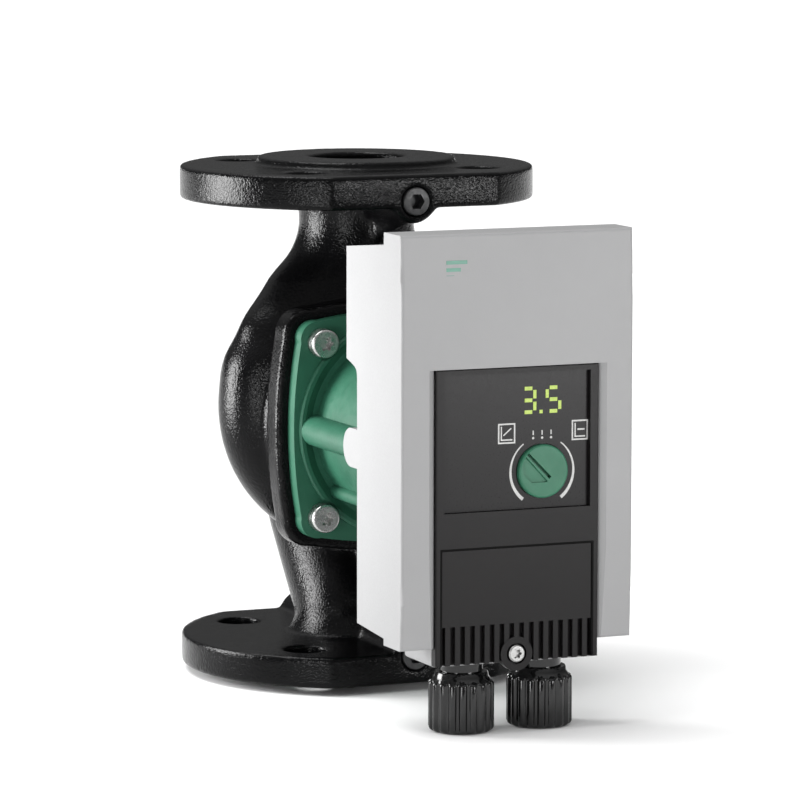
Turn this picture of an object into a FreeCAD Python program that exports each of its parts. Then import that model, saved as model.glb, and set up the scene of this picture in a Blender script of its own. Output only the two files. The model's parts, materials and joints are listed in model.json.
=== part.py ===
import FreeCAD, Part
import math
import os
from FreeCAD import Vector as V

# ---------------------------------------------------------------------------
# In-line wet-rotor circulator pump, DN 40, face to face 220 mm.
# Frame: origin at the centre of the lower (suction) flange's sealing face,
# +Z up along the pipe axis, -Y towards the electronics module, +X to its right.
# All dimensions in millimetres. "d" below means distance in front, d = -Y.
# ---------------------------------------------------------------------------

# flanges and ports
FACE_TO_FACE = 220.0
FLANGE_R = 75.0          # DN 40 PN 6/10 flange, 150 mm diameter
RAISED_R = 42.0
RAISED_UP, RAISED_LO = 3.6, 3.1
FLANGE_T_UP, FLANGE_T_LO = 14.3, 13.3
FLANGE_FLAT = 65.0       # front and rear flats, distance from the pipe axis
BOLT_PCD = 110.0
BOLT_HOLE_R = 9.0
PORT_R = 20.0
NECK_R = 25.0
# gauge ports
GAUGE_BOSS_R = 9.8
GAUGE_Z_UP = 205.1
GAUGE_Z_LO = 14.9
PLUG_R = 5.8
# motor axis and volute
AXIS_Z = 110.0
VOL_X, VOL_Z, VOL_R = -1.0, 115.5, 62.5
VOL_FRONT, VOL_BACK = 23.6, -15.0      # as d
VOL_ROUND = 19.0                       # radius of the scroll's round section
VOL_NECK_R = 50.6                      # neck between the scroll and the square flange
CHAMBER_R = 46.0
CHAMBER_D0, CHAMBER_D1 = -8.0, 30.0
MOUTH_R = 43.0
EYE_R = 20.0
HFL_D0, HFL_D1 = 30.0, 43.0            # square housing flange
HFL_HALF = 53.6
# motor
PLATE_D1 = 50.0
PLATE_HALF = 48.6
MB = 36.5                              # motor bolt offset from the axis
CAN_R = 38.5
CAN_WALL = 1.9
CAN_END = 124.0
SHAFT_R = 6.0
ROTOR_R = 22.0
ROTOR_CAN_R = 24.6
# electronics module
MOD_HALF = 50.2
MOD_FRONT = 168.5
MOD_EDGE = 166.0
MOD_Z0, MOD_Z1 = 36.3, 201.0
STEP_D = 149.5
REAR_UP, REAR_LO = 111.0, 122.0
WALL = 2.5
PANEL_HALF = 35.4
PANEL_Z0, PANEL_Z1 = 29.2, 147.5
PANEL_D0, PANEL_D1 = 163.3, 167.3
WIN_HALF = 31.7
WIN_Z0, WIN_Z1 = 90.2, 145.0
WIN_D = 165.2
COVER_HALF = 32.5
COVER_Z1 = 75.4
COVER_D1 = 166.9
RIB_Z1 = 44.8
RIB_PITCH = 4.27
SCREW_Z = 32.4
KNOB_X, KNOB_Z, KNOB_R, KNOB_D = 11.45, 105.1, 10.75, 167.2
# cable glands
GLAND_X, GLAND_D = 17.15, 151.0
GLAND_R = 13.3
NUT_Z0, NUT_Z1 = 0.2, 24.3
CARRIER_Z0 = 28.5
CABLE_R = 5.0
CARRIER_D0 = 136.5

os.makedirs("parts", exist_ok=True)
EXPORTED = []


def out(name, shape):
    """Write one sub-part; a list becomes a group of separate solids."""
    if isinstance(shape, (list, tuple)):
        solids = []
        for s in shape:
            solids += s.Solids
        shape = Part.makeCompound(solids) if len(solids) > 1 else solids[0]
    else:
        if len(shape.Solids) == 1:
            shape = shape.Solids[0]
    ok = shape.isValid()
    print("%-20s solids %2d  valid %s  vol %.0f" % (name, len(shape.Solids), ok, shape.Volume))
    shape.exportStep("parts/%s.step" % name)
    EXPORTED.append(name)


def P(x, d, z):
    return V(x, -d, z)


def box(x0, x1, d0, d1, z0, z1):
    return Part.makeBox(x1 - x0, d1 - d0, z1 - z0, V(x0, -d1, z0))


def cyl_y(r, d0, d1, x=0.0, z=AXIS_Z):
    """Cylinder along the motor direction, from d0 to d1."""
    return Part.makeCylinder(r, d1 - d0, V(x, -d0, z), V(0, -1, 0))


def tube_y(ro, ri, d0, d1, x=0.0, z=AXIS_Z):
    return cyl_y(ro, d0, d1, x, z).cut(cyl_y(ri, d0 - 1, d1 + 1, x, z))


def cyl_z(r, z0, z1, x=0.0, d=0.0):
    return Part.makeCylinder(r, z1 - z0, V(x, -d, z0), V(0, 0, 1))


def cyl_x(r, x0, x1, d, z):
    return Part.makeCylinder(r, x1 - x0, V(x0, -d, z), V(1, 0, 0))


def poly_y(pts, d0, d1):
    """Prism from an XZ outline, from d0 to d1."""
    w = Part.makePolygon([V(x, -d0, z) for x, z in pts] + [V(pts[0][0], -d0, pts[0][1])])
    return Part.Face(w).extrude(V(0, -(d1 - d0), 0))


def poly_x(pts, x0, x1):
    """Prism from a (d, z) outline, from x0 to x1."""
    w = Part.makePolygon([V(x0, -d, z) for d, z in pts] + [V(x0, -pts[0][0], pts[0][1])])
    return Part.Face(w).extrude(V(x1 - x0, 0, 0))


def revolve_y(pts, x=0.0, z=AXIS_Z):
    """Solid of revolution about the motor axis from (r, d) points."""
    w = Part.makePolygon([V(x + r, -d, z) for r, d in pts] + [V(x + pts[0][0], -pts[0][1], z)])
    return Part.Face(w).revolve(V(x, 0, z), V(0, 1, 0), 360)


def revolve_z(pts, x=0.0, d=0.0):
    w = Part.makePolygon([V(x + r, -d, z) for r, z in pts] + [V(x + pts[0][0], -d, pts[0][1])])
    return Part.Face(w).revolve(V(x, -d, 0), V(0, 0, 1), 360)


def bulged_square(half, corner, mid, d0, d1, z=AXIS_Z, x=0.0):
    """Square with bowed sides and rounded corners, extruded from d0 to d1.
    half: distance to a side's middle; corner: where each side ends
    (across, out); mid: the corner arc's middle, on the diagonal."""
    a, b = corner
    pts = []
    for k in range(4):
        t = math.radians(90 * k)
        c, s = math.cos(t), math.sin(t)

        def rot(u, v):
            return V(x + u * c - v * s, -d0, z + u * s + v * c)
        pts.append((rot(b, -a), rot(half, 0), rot(b, a), rot(mid, mid)))
    edges = []
    for k in range(4):
        p0, p1, p2, p3 = pts[k]
        nxt = pts[(k + 1) % 4][0]
        edges.append(Part.Arc(p0, p1, p2).toShape())
        edges.append(Part.Arc(p2, p3, nxt).toShape())
    w = Part.Wire(Part.__sortEdges__(edges))
    return Part.Face(w).extrude(V(0, -(d1 - d0), 0))


def tidy(s):
    """Merge split faces where that leaves a sound solid of the same volume."""
    t = s.removeSplitter()
    if t.isValid() and abs(t.Volume - s.Volume) < 1e-4 * abs(s.Volume) + 0.01:
        return t
    return s


def fuse(*shapes):
    s = shapes[0]
    for n, o in enumerate(shapes[1:]):
        if s.isNull() or o.isNull():
            print("   null shape at", n + 1, s.isNull(), o.isNull())
        r = s.fuse(o)
        if not r.Solids:
            print("   fuse failed at", n + 1)
        s = r
    return tidy(s)


def torx(x, z, d_face, r, depth):
    """Six-lobed socket: a hexagonal star of small cylinders round a core."""
    s = cyl_y(r * 0.72, d_face - depth, d_face + 1, x, z)
    for k in range(6):
        t = math.radians(60 * k)
        s = s.fuse(cyl_y(r * 0.22, d_face - depth, d_face + 1,
                         x + r * 0.74 * math.cos(t), z + r * 0.74 * math.sin(t)))
    return s


def hexprism_y(af, d0, d1, x, z):
    r = af / math.sqrt(3.0)
    return poly_y([(x + r * math.cos(math.radians(60 * k)), z + r * math.sin(math.radians(60 * k)))
                   for k in range(6)], d0, d1)


def try_fillet(shape, r, pick):
    edges = [e for e in shape.Edges if pick(e)]
    if not edges:
        print("   fillet: no edges")
        return shape
    try:
        f = shape.makeFillet(r, edges)
        if f.isValid() and len(f.Solids) == len(shape.Solids):
            return f
    except Exception as exc:
        print("   fillet refused:", exc)
    return shape


# ---------------------------------------------------------------------------
# Suction passage: rises from the lower flange, leans back, turns up behind
# the volute and comes forward into the impeller eye.
# ---------------------------------------------------------------------------
ALPHA = math.radians(40.0)
R_BEND = 28.0
Z_START = 12.0
R_EYE = 30.0
Y_BACK = 40.0


def yz(y, z):
    return V(0, y, z)


def suction_path(z_from):
    s, c = math.sin(ALPHA), math.cos(ALPHA)
    a0 = yz(0, Z_START)
    c1 = (R_BEND, Z_START)
    a1m = yz(c1[0] - R_BEND * math.cos(ALPHA / 2), c1[1] + R_BEND * math.sin(ALPHA / 2))
    a1 = yz(c1[0] - R_BEND * c, c1[1] + R_BEND * s)
    # end of the straight run, start of the bend back to vertical
    top = AXIS_Z - R_EYE
    c2 = (Y_BACK - R_BEND, top)
    b0 = yz(c2[0] + R_BEND * c, c2[1] - R_BEND * s)
    b0m = yz(c2[0] + R_BEND * math.cos(ALPHA / 2), c2[1] - R_BEND * math.sin(ALPHA / 2))
    b1 = yz(Y_BACK, top)
    c3 = (Y_BACK - R_EYE, top)
    e1m = yz(c3[0] + R_EYE * math.cos(math.radians(45)), c3[1] + R_EYE * math.sin(math.radians(45)))
    e1 = yz(c3[0], c3[1] + R_EYE)
    edges = [Part.LineSegment(yz(0, z_from), a0).toShape(),
             Part.Arc(a0, a1m, a1).toShape(),
             Part.LineSegment(a1, b0).toShape(),
             Part.Arc(b0, b0m, b1).toShape(),
             Part.Arc(b1, e1m, e1).toShape()]
    return edges


def pipe(r, z_from):
    """Round pipe along the whole suction path."""
    edges = suction_path(z_from)
    prof = Part.Wire(Part.makeCircle(r, edges[0].valueAt(edges[0].FirstParameter), V(0, 0, 1)))
    return Part.Wire(edges).makePipeShell([prof], True, True)


# ---------------------------------------------------------------------------
# Pump housing
# ---------------------------------------------------------------------------
def flange(z_out, sign, raised, thick):
    """Disc, raised face, flats. z_out is the sealing face, sign points into the pump."""
    z_a = z_out + sign * raised
    z_b = z_a + sign * thick
    lo, hi = min(z_a, z_b), max(z_a, z_b)
    disc = cyl_z(FLANGE_R, lo, hi)
    disc = disc.cut(box(-80, 80, FLANGE_FLAT, 90, lo - 1, hi + 1))
    disc = disc.cut(box(-80, 80, -90, -FLANGE_FLAT, lo - 1, hi + 1))
    disc = try_fillet(disc, 1.2, lambda e: True)
    lo2, hi2 = min(z_out, z_a), max(z_out, z_a)
    face = cyl_z(RAISED_R, lo2, hi2)
    # concentric sealing grooves
    for rr in (24.5, 27.5, 30.5, 33.5, 36.5, 39.5):
        g = revolve_z([(rr - 0.45, z_out), (rr + 0.45, z_out), (rr, z_out + sign * 0.45)])
        face = face.cut(g)
    return disc.fuse(face)


lower_flange = flange(0.0, 1, RAISED_LO, FLANGE_T_LO)
upper_flange = flange(FACE_TO_FACE, -1, RAISED_UP, FLANGE_T_UP)

# volute: a scroll of round section about the motor direction, and the neck in front of it
rc = VOL_R - VOL_ROUND
mid = (VOL_BACK + VOL_ROUND, VOL_FRONT - VOL_ROUND)
profile = [Part.makeLine(V(0, -VOL_BACK, 0), V(rc, -VOL_BACK, 0)),
           Part.Arc(V(rc, -VOL_BACK, 0), V(rc + VOL_ROUND * math.sqrt(0.5), -mid[0] + VOL_ROUND * math.sqrt(0.5), 0),
                    V(VOL_R, -mid[0], 0)).toShape(),
           Part.makeLine(V(VOL_R, -mid[0], 0), V(VOL_R, -mid[1], 0)),
           Part.Arc(V(VOL_R, -mid[1], 0), V(rc + VOL_ROUND * math.sqrt(0.5), -mid[1] - VOL_ROUND * math.sqrt(0.5), 0),
                    V(rc, -VOL_FRONT, 0)).toShape(),
           Part.makeLine(V(rc, -VOL_FRONT, 0), V(0, -VOL_FRONT, 0)),
           Part.makeLine(V(0, -VOL_FRONT, 0), V(0, -VOL_BACK, 0))]
vol = Part.Face(Part.Wire(profile)).revolve(V(0, 0, 0), V(0, 1, 0), 360)
vol.translate(V(VOL_X, 0, VOL_Z))
print("volute", vol.isValid(), round(vol.Volume))
vol_neck = cyl_y(VOL_NECK_R, 8.0, HFL_D0 + 1.0)


def ellipse_wire(a, b, z, cx=0.0, cy=0.0):
    n = 24
    pts = [V(cx + a * math.cos(2 * math.pi * k / n), cy + b * math.sin(2 * math.pi * k / n), z) for k in range(n)]
    bs = Part.BSplineCurve()
    bs.interpolate(pts, PeriodicFlag=True)
    return Part.Wire([bs.toShape()])


# discharge neck flaring into the volute
neck_sections = [(24.4, 24.6, 0.0, 206.0), (24.4, 24.6, 0.0, 194.0), (24.9, 24.7, 0.0, 189.0), (26.6, 24.9, 0.0, 184.0),
                 (30.0, 25.0, 0.0, 178.0), (36.9, 25.0, -1.0, 172.0), (43.2, 24.3, -2.4, 166.0), (49.5, 23.5, -4.0, 159.0),
                 (51.0, 19.0, -4.5, 140.0)]
neck = Part.makeLoft([ellipse_wire(a, b, z, 0.0, cy) for a, b, cy, z in neck_sections], True, False)
# lower neck root flare and suction pipe
suction_outer = pipe(NECK_R, 10.0)
root = revolve_z([(0, 15), (29.5, 15), (27.5, 19.5), (25.8, 23), (25.0, 27), (0, 27)])
# eye boss behind the volute
eye_boss = cyl_y(31.0, -18.0, 0.0)
# square flange to the motor
hflange = bulged_square(HFL_HALF, (38.0, 50.0), 46.8, HFL_D0, HFL_D1)
# gauge bosses, along Y from the front flat to the neck
boss_up = cyl_y(GAUGE_BOSS_R, 0.0, FLANGE_FLAT, 0.0, GAUGE_Z_UP)
boss_lo = cyl_y(GAUGE_BOSS_R, 0.0, FLANGE_FLAT, 0.0, GAUGE_Z_LO)
boss_rear = cyl_y(GAUGE_BOSS_R, -FLANGE_FLAT, 0.0, 0.0, GAUGE_Z_LO)
boss_rear_up = cyl_y(GAUGE_BOSS_R, -FLANGE_FLAT, 0.0, 0.0, GAUGE_Z_UP)
# web under the upper boss
web = poly_x([(20, 176), (26, 186), (58, 196), (58, 203), (20, 203)], -2.2, 2.2)
# support foot rib under the volute, between the suction pipe and the motor flange
rib = poly_x([(-6, 22), (24, 22), (36, 62), (30, 78), (-10, 70)], -3.0, 3.0)

body = vol.fuse(vol_neck).fuse(hflange)
print("body", body.isValid(), len(body.Solids), round(body.Volume))
# wall round the lower end of the discharge passage, behind the scroll
outlet_wall = Part.makeCone(14.0, 23.6, 17.0, V(0, 0, 126.5)).fuse(cyl_z(23.6, 143.5, 171.0))
column = upper_flange.multiFuse([neck, outlet_wall, boss_up, boss_rear_up, web])
print("column", column.isValid(), len(column.Solids), round(column.Volume))
foot = lower_flange.multiFuse([suction_outer, root, eye_boss, boss_lo, boss_rear, rib])
print("foot", foot.isValid(), len(foot.Solids), round(foot.Volume))
housing = body.fuse(column)
print("body and column", housing.isValid(), len(housing.Solids), round(housing.Volume), housing.BoundBox)
housing = housing.fuse(foot)
print("outer", housing.isValid(), len(housing.Solids), round(housing.Volume), housing.BoundBox)

# passages
suction_inner = pipe(19.5, 10.0)
cut = [cyl_z(PORT_R, -1, 13.0), suction_inner,
       cyl_y(EYE_R, -11.0, -2.0),
       cyl_y(CHAMBER_R, CHAMBER_D0, CHAMBER_D1),
       cyl_y(MOUTH_R, 26.0, HFL_D1 + 1),
       cyl_z(19.4, 146.0, 171.0),
       cyl_z(PORT_R, 170.0, FACE_TO_FACE + 1)]
for c in cut:
    housing = housing.cut(c)
    print("  cut", housing.isValid(), len(housing.Solids), round(housing.Volume))
# ring inside the chamber that seats the wear ring
housing = housing.fuse(tube_y(26.0, EYE_R, -9.0, -2.0))
# gasket groove, motor bolt holes
housing = housing.cut(tube_y(46.0, 42.0, 40.8, HFL_D1 + 1))
for sx in (-1, 1):
    for sz in (-1, 1):
        housing = housing.cut(cyl_y(4.05, 26.0, HFL_D1 + 1, sx * MB, AXIS_Z + sz * MB))
# flange bolt holes
for k in range(4):
    t = math.radians(45 + 90 * k)
    x, y = BOLT_PCD / 2 * math.cos(t), BOLT_PCD / 2 * math.sin(t)
    housing = housing.cut(Part.makeCylinder(BOLT_HOLE_R, 24, V(x, y, -2)))
    housing = housing.cut(Part.makeCylinder(BOLT_HOLE_R, 24, V(x, y, FACE_TO_FACE - 22)))
# gauge ports: a counterbore for the plug and a hole through to the passage
for zc in (GAUGE_Z_UP, GAUGE_Z_LO):
    housing = housing.cut(cyl_y(PLUG_R + 0.05, FLANGE_FLAT - 11.0, FLANGE_FLAT + 1, 0.0, zc))
    housing = housing.cut(cyl_y(3.0, 10.0, FLANGE_FLAT, 0.0, zc))
    housing = housing.cut(cyl_y(PLUG_R + 0.05, -FLANGE_FLAT - 1, -FLANGE_FLAT + 11.0, 0.0, zc))
    housing = housing.cut(cyl_y(3.0, -FLANGE_FLAT, -10.0, 0.0, zc))
print("housing solids", len(housing.Solids), housing.BoundBox)
housing = max(housing.Solids, key=lambda s: s.Volume)

# the casting is written as five pieces that meet face to face
Z_A, Z_B, Z_C, Y_S = 25.0, 158.0, 195.0, 9.5
whole = housing.Volume
pieces = [("lower_flange", box(-90, 90, -90, 90, -5, Z_A)),
          ("volute_casing", box(-90, 90, -Y_S, 90, Z_A, Z_B)),
          ("suction_bend", box(-90, 90, -90, -Y_S, Z_A, Z_B)),
          ("discharge_neck", box(-90, 90, -90, 90, Z_B, Z_C)),
          ("upper_flange", box(-90, 90, -90, 90, Z_C, 230))]
total = 0.0
for pname, region in pieces:
    piece = housing.common(region)
    total += piece.Volume
    print("  piece", pname, [round(s.Volume, 1) for s in piece.Solids])
    out(pname, max(piece.Solids, key=lambda s: s.Volume))
print("  whole", round(whole), "pieces", round(total))


def plug(front, zc, name_sign=1):
    """Threaded plug with a hexagon socket; name_sign 1 faces -Y, -1 faces +Y."""
    p = cyl_y(PLUG_R, front - 10.9, front + 0.6, 0.0, zc)
    p = try_fillet(p, 0.5, lambda e: abs(e.BoundBox.YMin + front + 0.6) < 0.05 and e.BoundBox.YLength < 0.05)
    p = p.cut(hexprism_y(6.0, front - 4.5, front + 1.0, 0.0, zc))
    if name_sign < 0:
        p.rotate(V(0, 0, zc), V(0, 0, 1), 180)
    return p


out("gauge_port_plugs", [plug(FLANGE_FLAT, GAUGE_Z_UP), plug(FLANGE_FLAT, GAUGE_Z_LO),
                         plug(FLANGE_FLAT, GAUGE_Z_UP, -1), plug(FLANGE_FLAT, GAUGE_Z_LO, -1)])
out("housing_gasket", tube_y(45.8, 43.1, 40.9, HFL_D1 - 0.02))
out("wear_ring", tube_y(EYE_R - 0.03, 17.6, -8.8, -2.2))

# ---------------------------------------------------------------------------
# Hydraulics and rotor (turn together)
# ---------------------------------------------------------------------------
IMP_R = 38.0
front_shroud = revolve_y([(15.0, -7.6), (17.5, -7.6), (17.5, 4.0), (24.0, 6.0), (IMP_R, 7.5),
                          (IMP_R, 9.5), (22.0, 8.5), (15.0, 6.0)])
back_shroud = revolve_y([(SHAFT_R + 0.02, 14.5), (10.0, 14.5), (16.0, 19.0), (IMP_R, 20.0), (IMP_R, 22.5),
                         (13.0, 22.5), (13.0, 29.0), (SHAFT_R + 0.02, 29.0)])
impeller = front_shroud.fuse(back_shroud)
for k in range(6):
    # backward-curved vane: an arc-shaped strip
    pts_o, pts_i = [], []
    for j in range(9):
        u = j / 8.0
        r = 17.5 + (IMP_R - 0.6 - 17.5) * u
        th = math.radians(60 * k + 62 * u)
        w = (1.1) / r
        pts_o.append((r * math.cos(th + w), AXIS_Z + r * math.sin(th + w)))
        pts_i.append((r * math.cos(th - w), AXIS_Z + r * math.sin(th - w)))
    vane = poly_y(pts_o + pts_i[::-1], 5.0, 21.0)
    vane = vane.cut(revolve_y([(14.0, -10.0), (17.4, -10.0), (17.4, 4.5), (24.0, 6.5), (40.0, 8.3),
                               (40.0, -10.0)]))
    impeller = impeller.fuse(vane)
impeller = tidy(impeller)
out("impeller", impeller)

shaft = cyl_y(SHAFT_R, 8.0, 109.0)
shaft = try_fillet(shaft, 0.8, lambda e: e.BoundBox.YLength < 0.05)
out("shaft", shaft)
nut = hexprism_y(14.0, 9.5, 14.4, 0.0, AXIS_Z).cut(cyl_y(SHAFT_R + 0.02, 8.0, 16.0))
out("impeller_nut", nut)
rotor = cyl_y(ROTOR_R, 58.0, 96.0).cut(cyl_y(SHAFT_R + 0.02, 50, 100))
for k in range(12):
    t = math.radians(30 * k)
    rotor = rotor.cut(cyl_y(1.6, 57.0, 97.0, 19.0 * math.cos(t), AXIS_Z + 19.0 * math.sin(t)))
out("rotor_core", rotor)
out("rotor_magnets", [cyl_y(1.55, 58.2, 95.8, 19.0 * math.cos(math.radians(30 * k)),
                            AXIS_Z + 19.0 * math.sin(math.radians(30 * k))) for k in range(12)])
out("thrust_disc", tube_y(12.5, SHAFT_R + 0.02, 50.4, 54.4))

# ---------------------------------------------------------------------------
# Motor, fixed side
# ---------------------------------------------------------------------------
shield = revolve_y([(13.02, 32.0), (MOUTH_R - 0.05, 32.0), (MOUTH_R - 0.05, 39.0), (41.9, 39.0), (41.9, 42.95),
                    (28.0, 42.95), (26.5, 49.6), (13.02, 49.6)])
out("end_shield", shield)
out("front_bearing", tube_y(13.0, SHAFT_R + 0.05, 34.0, 49.8))
# thin cup round the rotor, closed at the far end
can = revolve_y([(ROTOR_CAN_R - 0.5, 50.0), (28.0, 50.0), (28.0, 50.8), (ROTOR_CAN_R, 50.8),
                 (ROTOR_CAN_R, 113.0), (0.0, 113.0), (0.0, 111.8), (ROTOR_CAN_R - 0.5, 111.8)])
out("rotor_can", can)
out("rear_bearing", tube_y(ROTOR_CAN_R - 0.55, SHAFT_R + 0.05, 99.0, 108.0))
SLOTS = 6
stator = tube_y(CAN_R - CAN_WALL - 0.1, ROTOR_CAN_R + 0.15, 60.0, 94.0)
bars = []
for k in range(SLOTS):
    b = box(-4.0, 4.0, 59.0, 95.0, AXIS_Z + 27.0, AXIS_Z + 34.0)
    b.rotate(V(0, 0, AXIS_Z), V(0, 1, 0), 60 * k)
    stator = stator.cut(b)
    c = box(-3.9, 3.9, 55.0, 99.0, AXIS_Z + 27.1, AXIS_Z + 33.9)
    c.rotate(V(0, 0, AXIS_Z), V(0, 1, 0), 60 * k)
    bars.append(c)
out("stator_core", stator)
wind = tube_y(35.6, 26.2, 53.0, 59.5).fuse(tube_y(35.6, 26.2, 94.5, 101.0))
wind = try_fillet(wind, 1.5, lambda e: True)
for b in bars:
    wind = wind.fuse(b)
out("stator_windings", wind.removeSplitter())

# painted motor shell: square mounting plate, dished ring, round can, side ribs
plate = bulged_square(PLATE_HALF, (36.5, 45.3), 43.2, HFL_D1, PLATE_D1)
plate = try_fillet(plate, 1.6, lambda e: e.BoundBox.YLength < 0.1 and abs(e.BoundBox.YMin + PLATE_D1) < 0.1)
ring = revolve_y([(0, 46.0), (46.6, 46.0), (46.6, 51.4), (45.9, 52.0), (44.4, 52.0), (38.4, 48.6), (0, 48.6)])
shell = cyl_y(CAN_R, 44.0, CAN_END)
shell = try_fillet(shell, 2.0, lambda e: e.BoundBox.YLength < 0.1 and abs(e.BoundBox.YMin + CAN_END) < 0.1)
motor_parts = [ring, shell]
for sx in (-1, 1):
    side = cyl_y(6.2, 45.0, 112.0, sx * 39.8, AXIS_Z).fuse(box(min(sx * 30, sx * 39.8), max(sx * 30, sx * 39.8),
                                                              45.0, 112.0, AXIS_Z - 6.2, AXIS_Z + 6.2))
    motor_parts.append(side)
    motor_parts.append(cyl_y(3.0, 45.0, 112.0, sx * 29.5, AXIS_Z - 26.0))
motor_parts.append(box(-4.0, 4.0, 45.0, 112.0, AXIS_Z + 30.0, AXIS_Z + 41.0))
motor = plate.multiFuse(motor_parts)
print("motor", motor.isValid(), len(motor.Solids), round(motor.Volume))
motor = motor.cut(cyl_y(CAN_R - CAN_WALL, 52.0, CAN_END - 3.0))
motor = motor.cut(cyl_y(28.05, 40.0, 53.0))
motor = motor.cut(cyl_y(41.95, 40.0, 43.0))
for sx in (-1, 1):
    for sz in (-1, 1):
        motor = motor.cut(cyl_y(4.4, 40.0, 60.0, sx * MB, AXIS_Z + sz * MB))
        motor = motor.cut(cyl_y(7.4, PLATE_D1, 60.0, sx * MB, AXIS_Z + sz * MB))
# connector opening in the end wall
motor = motor.cut(box(-12, 12, CAN_END - 6, CAN_END + 2, AXIS_Z + 8, AXIS_Z + 22))
out("motor_shell", max(motor.Solids, key=lambda s: s.Volume))
bolts = []
for sx in (-1, 1):
    for sz in (-1, 1):
        x, z = sx * MB, AXIS_Z + sz * MB
        head = cyl_y(6.0, PLATE_D1 + 0.01, PLATE_D1 + 6.0, x, z)
        head = try_fillet(head, 0.9, lambda e: e.BoundBox.YLength < 0.05 and abs(e.BoundBox.YMin + PLATE_D1 + 6.0) < 0.05)
        head = head.cut(torx(x, z, PLATE_D1 + 6.0, 3.3, 3.2))
        bolts.append(head.fuse(cyl_y(4.0, 27.0, PLATE_D1 + 1, x, z)).removeSplitter())
out("motor_bolts", bolts)

# ---------------------------------------------------------------------------
# Electronics module
# ---------------------------------------------------------------------------
rear_pts = [(REAR_UP, 192.4), (STEP_D, 196.1), (STEP_D, 39.0), (REAR_LO, 41.1), (REAR_LO, 141.5),
            (121.4, 143.2), (119.6, 144.6), (116.0, 145.8), (REAR_UP, 147.2)]
body = poly_x(rear_pts, -MOD_HALF, MOD_HALF)
front = box(-MOD_HALF, MOD_HALF, STEP_D, MOD_FRONT + 2, MOD_Z0, MOD_Z1)
# gently convex front: a large cylinder across X, and one along Z
zc = (MOD_Z0 + MOD_Z1) / 2
half_h = (MOD_Z1 - MOD_Z0) / 2
sag = 1.7
rz = (half_h ** 2 + sag ** 2) / (2 * sag)
front = front.common(Part.makeCylinder(rz, 140, V(-70, -MOD_FRONT + rz, zc), V(1, 0, 0)))
sagx = 0.8
rx = (MOD_HALF ** 2 + sagx ** 2) / (2 * sagx)
front = front.common(Part.makeCylinder(rx, 240, V(0, -MOD_FRONT + rx, -10), V(0, 0, 1)))
modh = body.fuse(front).removeSplitter()
for sx in (-1, 1):
    x0, x1 = (-MOD_HALF, -MOD_HALF + 3.0) if sx < 0 else (MOD_HALF - 3.0, MOD_HALF)
    lug = cyl_x(7.9, x0, x1, 115.4, 111.5).fuse(box(x0, x1, 115.4, REAR_LO + 3, 103.6, 119.4))
    modh = modh.fuse(lug)
modh = tidy(modh)
modh = try_fillet(modh, 1.3, lambda e: (e.BoundBox.YMax < -(MOD_EDGE - 2.6) and e.BoundBox.ZLength > 0) or
                  (e.BoundBox.YMax < -(MOD_EDGE - 2.6)))
# hollow, open at the back
inner = [(REAR_UP - 8, 189.8), (STEP_D, 193.4), (STEP_D, 198.0), (160.6, 198.0), (160.6, 39.2), (STEP_D, 39.2),
         (STEP_D, 41.8), (REAR_UP - 8, 43.8)]
modh = modh.cut(poly_x(inner, -MOD_HALF + WALL, MOD_HALF - WALL))
# recess for the dark panel, with sloped sides
modh = modh.cut(box(-PANEL_HALF - 0.1, PANEL_HALF + 0.1, PANEL_D0 - 0.05, 175, 20, PANEL_Z1 + 0.1))
for sx in (-1, 1):
    a, b = PANEL_HALF + 0.05, PANEL_HALF + 3.6
    pts = [(sx * a, 165.6), (sx * b, 168.4), (sx * b, 175.0), (sx * a, 175.0)]
    wd = Part.makePolygon([V(x, -d, 20) for x, d in pts] + [V(pts[0][0], -pts[0][1], 20)])
    modh = modh.cut(Part.Face(wd).extrude(V(0, 0, PANEL_Z1 + 0.1 - 20)))
# way into the terminal box, and the slot its walls pass through
modh = modh.cut(box(-COVER_HALF, COVER_HALF, 155, 170, 20, 74.0))
modh = modh.cut(box(-PANEL_HALF - 0.1, PANEL_HALF + 0.1, CARRIER_D0 - 0.1, 175, 20, 73.1))
# hole behind the knob and the display
modh = modh.cut(cyl_y(4.5, 155, 170, KNOB_X, KNOB_Z))
modh = modh.cut(box(0.0, 22.0, 155, 170, 125.5, 141.5))


def front_d(x, z):
    """Distance of the convex front face from the pipe axis."""
    return MOD_FRONT - (rx - math.sqrt(rx * rx - x * x)) - (rz - math.sqrt(rz * rz - (z - zc) ** 2))


# generic mark on the module: three flat level bars set into shallow pockets
bx, bz = -26.6, 186.2
badge_bars = []
for k, w in enumerate((9.0, 6.2, 3.4)):
    z0 = bz + 2.9 - 2.9 * k
    x0 = bx - 4.5
    fd = max(front_d(x0, z0 + 1.5), front_d(x0 + w, z0 + 1.5), front_d(x0, z0), front_d(x0 + w, z0))
    badge_bars.append(box(x0, x0 + w, fd - 0.8, fd + 0.2, z0, z0 + 1.5))
for b in badge_bars:
    modh = modh.cut(b)
out("module_housing", max(modh.Solids, key=lambda s: s.Volume))
out("badge", badge_bars)

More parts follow.
